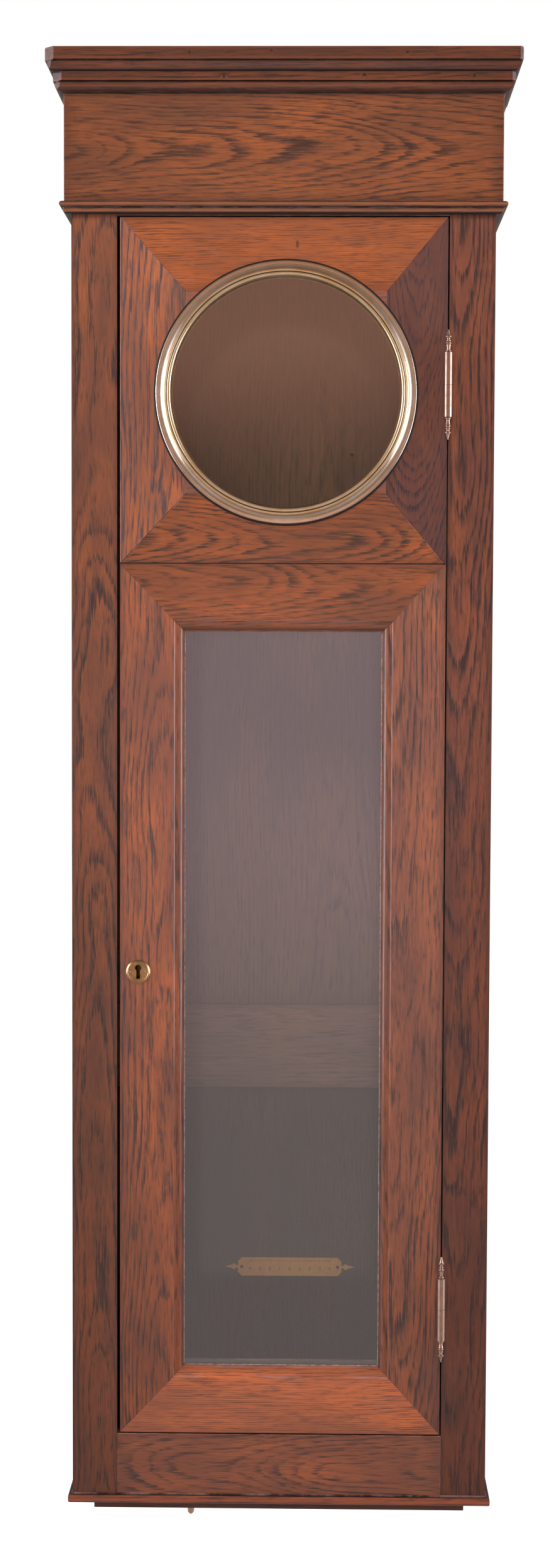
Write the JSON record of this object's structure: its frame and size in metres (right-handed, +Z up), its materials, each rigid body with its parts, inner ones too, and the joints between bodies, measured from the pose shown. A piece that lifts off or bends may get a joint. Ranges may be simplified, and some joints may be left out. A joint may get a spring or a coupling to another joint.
{
  "type": "wall-hung master time clock case",
  "caption": "Tall oak wall case of a master time clock: crown, frieze, glazed door with round brass bezel on lift-off hinges, lock and pendulum beat scale.",
  "frame": {"origin": "middle of the hanger hole in the back, on the wall plane", "axes": "+X to the right seen from the front, +Y back into the wall, +Z up"},
  "size_m": [0.562, 0.259, 1.768],
  "materials": {
    "oak_door": "satin, open-grained oak with a red-brown stain",
    "oak_stiles": "satin, the same oak, stained darker",
    "oak_inside": "matt, thinly stained oak boards",
    "oak_batten": "matt, thinly stained oak",
    "bezel_brass": "lacquered spun brass, brushed round",
    "scale_brass": "engraved brass, dull",
    "escutcheon_brass": "aged brass",
    "hinge_brass": "worn polished brass, gone pale",
    "old_brass": "dull aged brass",
    "peg_brass": "dull pale brass",
    "hanger_steel": "plain steel",
    "glass": "clear window glass"
  },
  "bodies": {
    "case": {"side_panel_left": "oak_stiles", "side_panel_right": "oak_stiles", "face_stile_left": "oak_stiles", "face_stile_right": "oak_stiles", "face_bottom_rail": "oak_door", "face_top_rail": "oak_inside", "top_board": "oak_inside", "floor_board": "oak_inside", "bottom_board": "oak_stiles", "bottom_peg": "peg_brass", "back_panel_upper": "oak_inside", "back_cross_rail": "oak_batten", "back_panel_lower": "oak_inside", "frieze_front": "oak_door", "frieze_left": "oak_door", "frieze_right": "oak_door", "crown_upper_front": "oak_door", "crown_upper_left": "oak_door", "crown_upper_right": "oak_door", "crown_lower_front": "oak_door", "crown_lower_left": "oak_door", "crown_lower_right": "oak_door", "string_front": "oak_door", "string_left": "oak_door", "string_right": "oak_door", "base_front": "oak_stiles", "base_left": "oak_stiles", "base_right": "oak_stiles", "hanger_plate": "hanger_steel", "hanger_screws": "hanger_steel", "beat_scale": "scale_brass", "beat_scale_screws": "old_brass", "strike_plate": "old_brass", "hinge_upper_case_leaf": "hinge_brass", "hinge_lower_case_leaf": "hinge_brass", "hinge_pins": "hinge_brass", "hinge_case_screws": "hinge_brass"},
    "door": {"upper_frame_top": "oak_door", "upper_frame_bottom": "oak_door", "upper_frame_left": "oak_door", "upper_frame_right": "oak_door", "spandrels": "oak_door", "bezel": "bezel_brass", "round_glass": "glass", "glass_ring": "old_brass", "lower_frame_top": "oak_door", "lower_frame_bottom": "oak_door", "lower_frame_left": "oak_door", "lower_frame_right": "oak_door", "long_glass": "glass", "glazing_beads": "oak_inside", "escutcheon": "escutcheon_brass", "escutcheon_pins": "escutcheon_brass", "lock_case": "old_brass", "lock_cap": "old_brass", "hinge_upper_door_leaf": "hinge_brass", "hinge_lower_door_leaf": "hinge_brass", "hinge_finials": "hinge_brass", "hinge_door_screws": "hinge_brass"},
    "bolt": {"lock_bolt": "old_brass"}
  },
  "joints": [
    {"name": "door_hinge", "type": "hinge", "parent": "case", "child": "door", "pos_m": [0.1966, -0.235, -0.84], "axis": [0, 0, 1], "range_deg": [0, 170]},
    {"name": "bolt_slide", "type": "slide", "parent": "door", "child": "bolt", "axis": [-1, 0, 0], "range_m": [0, 0.008]}
  ]
}
